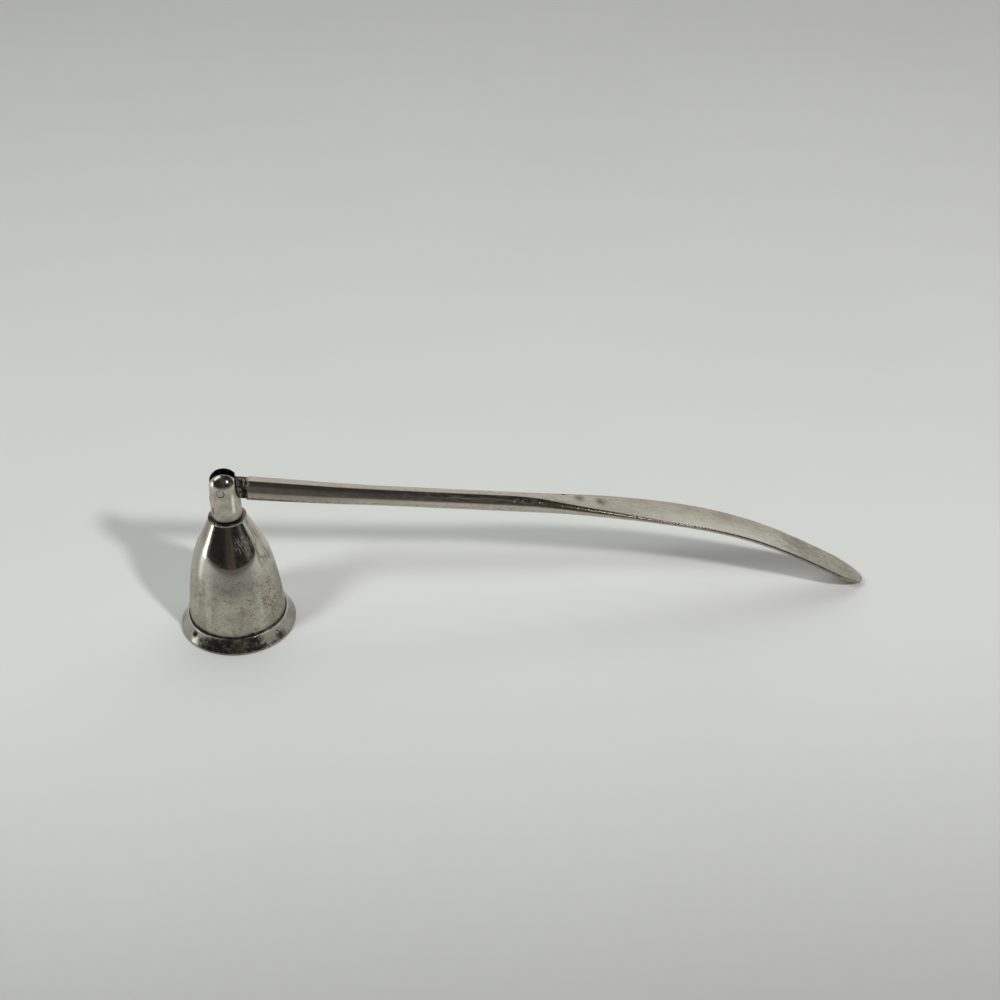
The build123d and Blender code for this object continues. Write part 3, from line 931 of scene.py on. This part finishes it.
land_top = (ring_radius, foot_round + foot_land)
lip = (ring_top_radius, ring_height)
ring_inside = [
    lip,
    (ring_seat + groove_width, ring_height),
    (ring_seat, ring_height - groove_depth),
    (ring_seat, ledge_height),
    (ring_bore, ledge_height),
    (ring_bore, foot_bevel),
    (ring_bore + foot_bevel, 0),
    (ring_radius - foot_round, 0),
]
ring_outline = np.vstack([
    eased_corner((ring_radius - 2, 0), (ring_radius, 0), land_top, foot_round),
    bowed(land_top, lip, -flare_hollow),
    *(straight(*ends)[1:] for ends in zip(ring_inside, ring_inside[1:])),
])[:-1]
ring_grid = turned(worn(ring_outline, ring_wear, ring_stride), ring_steps)
rim_ring = skin("rim_band", out_of_true(ring_grid, ring_wave, ring_wave_height), loop=True)
dress(rim_ring, ring_plate, "bell", "ring_plate", "rim_ring")

# %% [markdown]
# ## The handle
# The handle began as a round rod. The smith hammered its far end flat and bent it down, so the
# section changes along the way: a circle, then a circle with a flat top, then a thin blade. A loft
# in CAD uses a dozen sections. Here the section is worked out at every station of a smooth centre
# line, which leaves room for dents and for the small nicks along the edge that years in a drawer
# have left.

# %% Centre line of the handle
rest_droop = math.radians(9.2226)
tongue_reach = 8.4124
handle_reach, handle_lift, handle_drop = 220.3, 2.5, 19.15
tip_fall = 0.42
crest_start, crest_end = 0.44, 0.645        # shares of the reach
bend_share, bend_drop = 0.79, 0.094         # shares of the reach and of the drop
spine_steps = 4000
spine_points = np.array([
    (tongue_reach, 0.0),
    (handle_reach * crest_start, handle_lift),
    (handle_reach * crest_end, handle_lift),
    (handle_reach * bend_share, -handle_drop * bend_drop),
    (handle_reach, -handle_drop),
])


def spine(points, first_heading, last_heading, count):
    """A smooth line through the points: a cubic between each two, whose slopes are set by the rule that the
    bend never jumps. Its two end slopes are given. Returns places, headings and the length run at each
    place."""
    gaps = np.hypot(*np.diff(points, axis=0).T)
    knots = np.concatenate([[0], np.cumsum(gaps)])
    chords = np.diff(points, axis=0) / gaps[:, None]
    rule = np.eye(len(points))
    known = np.zeros_like(points)
    inner = np.arange(1, len(points) - 1)
    rule[inner, inner - 1] = gaps[1:]
    rule[inner, inner] = 2 * (gaps[:-1] + gaps[1:])
    rule[inner, inner + 1] = gaps[:-1]
    known[inner] = 3 * (gaps[1:, None] * chords[:-1] + gaps[:-1, None] * chords[1:])
    known[0] = np.array(first_heading) / np.hypot(*first_heading)
    known[-1] = np.array(last_heading) / np.hypot(*last_heading)
    slopes = np.linalg.solve(rule, known)
    at = np.linspace(0, knots[-1], count)
    span = np.clip(np.searchsorted(knots, at, side="right") - 1, 0, len(gaps) - 1)
    gap = gaps[span][:, None]
    t = (at[:, None] - knots[span][:, None]) / gap
    first, last = points[span], points[span + 1]
    out, into = slopes[span] * gap, slopes[span + 1] * gap
    place = (2 * t**3 - 3 * t**2 + 1) * first + (t**3 - 2 * t**2 + t) * out
    place += (-2 * t**3 + 3 * t**2) * last + (t**3 - t**2) * into
    heading = np.gradient(place, axis=0)
    run = np.concatenate([[0], np.cumsum(np.hypot(*np.diff(place, axis=0).T))])
    return place, heading / np.hypot(*heading.T)[:, None], run


spine_place, spine_heading, spine_run = spine(spine_points, (1, 0), (1, -tip_fall), spine_steps)
print("handle runs", round(float(spine_run[-1]), 1), "mm from the rod's end to the tip")

# %% [markdown]
# The section is four arcs: a top facet, two sides and a belly. Each arc goes through three points
# that slide from their places on a circle to their places on a thin blade, so the shape changes
# with no seam. A circle scaled flat would be simpler, but it would lose the crisp edge where the
# hammered top meets the side.

# %% Sections of the handle
rod_end_radius, rod_radius, rod_taper = 3.8, 3.2, 47.0
flat_start, flat_length = 84.0, 60.0
blade_width, blade_thickness = 12.3, 1.7
edge_bulge, blade_crown = 0.35, 0.06
tip_length, tip_fullness = 14.0, 1.04
side_drop = 0.35             # how low the side is widest, half way along the flat
facet_angle = math.radians(35)
facet_sin, facet_cos = math.sin(facet_angle), math.cos(facet_angle)
belly_spread, belly_level = (0.866, 0.93), (0.5, 0.6)       # shares of width and depth, rod and blade


def ease(value, start, end):
    """A smooth step from 0 to 1: 3 s s - 2 s s s of the share s of the way."""
    share = np.clip((value - start) / (end - start), 0, 1)
    return share * share * (3 - 2 * share)


def between(first, last, share):
    """A share of the way from the first value to the last."""
    return first + (last - first) * share


def arc_through(first, middle, last, count):
    """Points on the circle through three points, going round to the right, for many circles at once."""
    a, b = first - middle, last - middle
    cross = 2 * (a[:, 0] * b[:, 1] - a[:, 1] * b[:, 0])
    aa, bb = (a**2).sum(1), (b**2).sum(1)
    offset = np.stack([b[:, 1] * aa - a[:, 1] * bb, a[:, 0] * bb - b[:, 0] * aa], axis=1)
    centre = middle + offset / cross[:, None]
    start, end = first - centre, last - centre
    angle = np.arctan2(start[:, 1], start[:, 0])
    sweep = (angle - np.arctan2(end[:, 1], end[:, 0])) % (2 * np.pi)
    turn = angle[:, None] - sweep[:, None] * np.linspace(0, 1, count, endpoint=False)
    radius = np.hypot(*start.T)[:, None]
    return centre[:, None, :] + np.stack([radius * np.cos(turn), radius * np.sin(turn)], axis=-1)


def sections(run, counts):
    """The cross section at each run, as (width, height) points: a top facet, a side, the belly and the other
    side, each an arc through three points that move from the round rod to the thin blade."""
    radius = between(rod_end_radius, rod_radius, ease(run, 0, rod_taper))
    flat = ease(run, flat_start, flat_start + flat_length)
    depth = between(radius, blade_thickness / 2, flat)
    facet = between(radius * facet_sin, blade_width / 2 - edge_bulge, flat)
    fall = between(radius * (1 - facet_cos), blade_crown, flat)
    half = facet + between(radius * (1 - facet_sin), edge_bulge, flat)
    half_level = -depth * side_drop * 4 * flat * (1 - flat)
    belly = half * between(*belly_spread, flat)
    level = -depth * between(*belly_level, flat)
    zero = np.zeros_like(run)
    corners = ((-facet, depth - fall), (facet, depth - fall), (belly, level), (-belly, level))
    middles = ((zero, depth), (half, half_level), (zero, -depth), (-half, half_level))
    corners, middles = ([np.stack(point, 1) for point in points] for points in (corners, middles))
    ends = corners[1:] + corners[:1]
    return np.concatenate([*map(arc_through, corners, middles, ends, counts)], axis=1)


print("section", 2 * rod_end_radius, "mm round to", blade_width, "by", blade_thickness, "mm")

# %% [markdown]
# Stations lie close together where the edge is nicked and further apart on the plain rod, which
# saves faces. The nicks push the two top corners of the blade down and in. They could be a bump in
# the finish, but a bump leaves the outline smooth, and here the light catches real notches.

# %% Stations and nicks
station_starts = (0.0, 78.0, 118.0, 176.0)      # runs where the spacing of the stations changes
station_strides = (1.0, 0.6, 0.17, 0.4)
tip_stretch, tip_stations = 16.0, 60
nick_width, nick_depth = (0.15, 0.5), (0.01, 0.06)


def handle_runs():
    """The stations along the handle: a millimetre apart on the rod, close where the edge is nicked."""
    full = spine_run[-1]
    ends = (*station_starts[1:], full - tip_stretch)
    stretches = map(np.arange, station_starts, ends, station_strides)
    tip = full - tip_stretch * np.cos(np.linspace(0, np.pi / 2, tip_stations))
    return np.concatenate([*stretches, tip])


def at_rest(flat_points):
    """Turns points given along, across and above the handle's line down about the pin by the droop d, and
    moves them to the pin: x = along cos d + above sin d, z = above cos d - along sin d."""
    along, across, above = np.moveaxis(flat_points, -1, 0)
    x = pin_x + along * math.cos(rest_droop) + above * math.sin(rest_droop)
    z = pin_height - along * math.sin(rest_droop) + above * math.cos(rest_droop)
    return np.stack([x, across, z], axis=-1)


def nicks(run, count, start, end):
    """How deep the edge is nicked at each run: many short bell curves of random place, width and depth."""
    place = draws.uniform(start, end, count)
    width = draws.uniform(*nick_width, count)
    depth = draws.uniform(*nick_depth, count)
    return (depth * np.exp(-((run[:, None] - place) / width) ** 2)).max(axis=1)


runs = handle_runs()
print("handle has", len(runs), "stations")

# %% Rod and blade
section_counts = (30, 14, 30, 14)               # points on the top, a side, the belly and the other side
near_nicks, near_fall, near_cut = (110, 122.0, 160.0), 0.9, 0.7     # how many between which runs
far_nicks, far_fall, far_cut = (60, 110.0, 205.0), 0.6, 0.6
nick_spread = 2.2                               # points round the section
handle_wave, handle_wave_height = 26.0, 0.05
end_bevel = 0.3
tiny = 1e-9                                     # keeps a division away from 0

section = sections(runs, section_counts)
across, above = section[..., 0], section[..., 1]
upper = above / above.max(axis=1, keepdims=True)

# Points round the section, counted from the near and from the far corner of the top
column, half_side = np.arange(across.shape[1]), section_counts[3] / 2
from_near = (column + half_side) % len(column) - half_side
from_far = column - section_counts[0]
near_depth = nicks(runs, *near_nicks)[:, None] * np.exp(-((from_near / nick_spread) ** 2))
far_depth = nicks(runs, *far_nicks)[:, None] * np.exp(-((from_far / nick_spread) ** 2))
above = above - near_depth * near_fall - far_depth * far_fall
across = across + near_depth * near_cut - far_depth * far_cut

place_along = np.interp(runs, spine_run, spine_place[:, 0])
place_above = np.interp(runs, spine_run, spine_place[:, 1])
head_along = np.interp(runs, spine_run, spine_heading[:, 0])
head_above = np.interp(runs, spine_run, spine_heading[:, 1])
past_tip = np.clip((place_along - (handle_reach - tip_length)) / tip_length, 0, 1)
tip_half = blade_width / 2 * tip_fullness * np.sqrt(1 - past_tip**2)
narrow = np.minimum(1, tip_half / (np.abs(across).max(axis=1) + tiny))
across = across * narrow[:, None]

rod_grid = np.stack([
    place_along[:, None] - head_above[:, None] * above,
    across,
    place_above[:, None] + head_along[:, None] * above,
], axis=-1)

# The cut end of the rod: its centre, a ring half way out, and a small bevel
bevel_ring = rod_grid[:1].copy()
bevel_ring[..., 1:] *= (rod_end_radius - end_bevel) / rod_end_radius
second_ring = rod_grid[:1].copy()
second_ring[..., 0] += end_bevel
end_centre = np.broadcast_to([tongue_reach, 0.0, 0.0], bevel_ring.shape)
inner_ring = bevel_ring * (1, 0.5, 0.5)
rod_grid = np.concatenate([end_centre, inner_ring, bevel_ring, second_ring, rod_grid[1:]])
rod_grid[..., 2] += waves(rod_grid, handle_wave, handle_wave_height)
upper = np.concatenate([upper[:1], upper[:1], upper[:1], upper])
handle_rod = skin("rod_and_blade", at_rest(rod_grid), loop=False, upper=upper)
dress(handle_rod, handle_plate, "handle", "handle_plate", "handle")

# %% [markdown]
# The tongue is the flat end of the handle that turns on the pin. It is a plate with a round end and
# an eye. Seen from the pin, each direction has one place on the eye and one on the outline, so the
# plate is a ring: eye to outline on one cheek, over the edge, and back to the eye on the other.

# %% Tongue
tongue_radius, tongue_half, tongue_root = 3.55, 1.35, 3.0
eye_radius, tongue_steps = 1.31, 160
cheek_share = np.array([0, 0.35, 0.7, 0.95, 1, 1, 1, 0.95, 0.7, 0.35, 0])       # from eye to outline
cheek_side = np.array([1, 1, 1, 1, 0.9, 0, -0.9, -1, -1, -1, -1])               # from cheek to cheek


def tongue_grid():
    """Rows from the eye out over one cheek, across the edge and back, columns round the pin. The outline is a
    circle behind the pin and a box in front of it: the nearer of R / |sin a| and L / cos a. The edge is
    crowned: heights are multiplied by the root of 1 - (side / R)(side / R)."""
    angle = np.linspace(0, 2 * np.pi, tongue_steps, endpoint=False)
    sine, cosine = np.abs(np.sin(angle)) + tiny, np.cos(angle)
    front = (tongue_reach + tongue_root) / np.maximum(cosine, tiny)
    reach = np.where(cosine > 0, np.minimum(tongue_radius / sine, front), tongue_radius)
    share, side = cheek_share[:, None], cheek_side[:, None] * tongue_half
    out = eye_radius + share * (reach - eye_radius)
    lift = np.where(share > 0, np.sqrt(1 - (side / tongue_radius) ** 2), 1.0)
    return np.stack([out * cosine, side + 0 * angle, out * np.sin(angle) * lift], axis=-1)


handle_tongue = skin("tongue", at_rest(tongue_grid()), loop=True)
dress(handle_tongue, handle_plate, "handle", "handle_plate", "handle")

# %% [markdown]
# ## Pieces kept from the CAD model
# The post, its pin, the collar, the screw and the washer are small and already the right shape.
# They could be made again as the cup was, but nobody would see the difference, so they stay as they
# are and only take a finish.

# %% Finishes on the kept pieces
kept = {
    "hinge_post": post_plate,
    "crown_collar": collar_plate,
    "hinge_pin": post_plate,
    "crown_screw": fixings,
    "screw_washer": fixings,
}
for node, material in kept.items():
    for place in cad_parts[node].material_slots:
        place.material = material
    print(node, "takes", material.name)
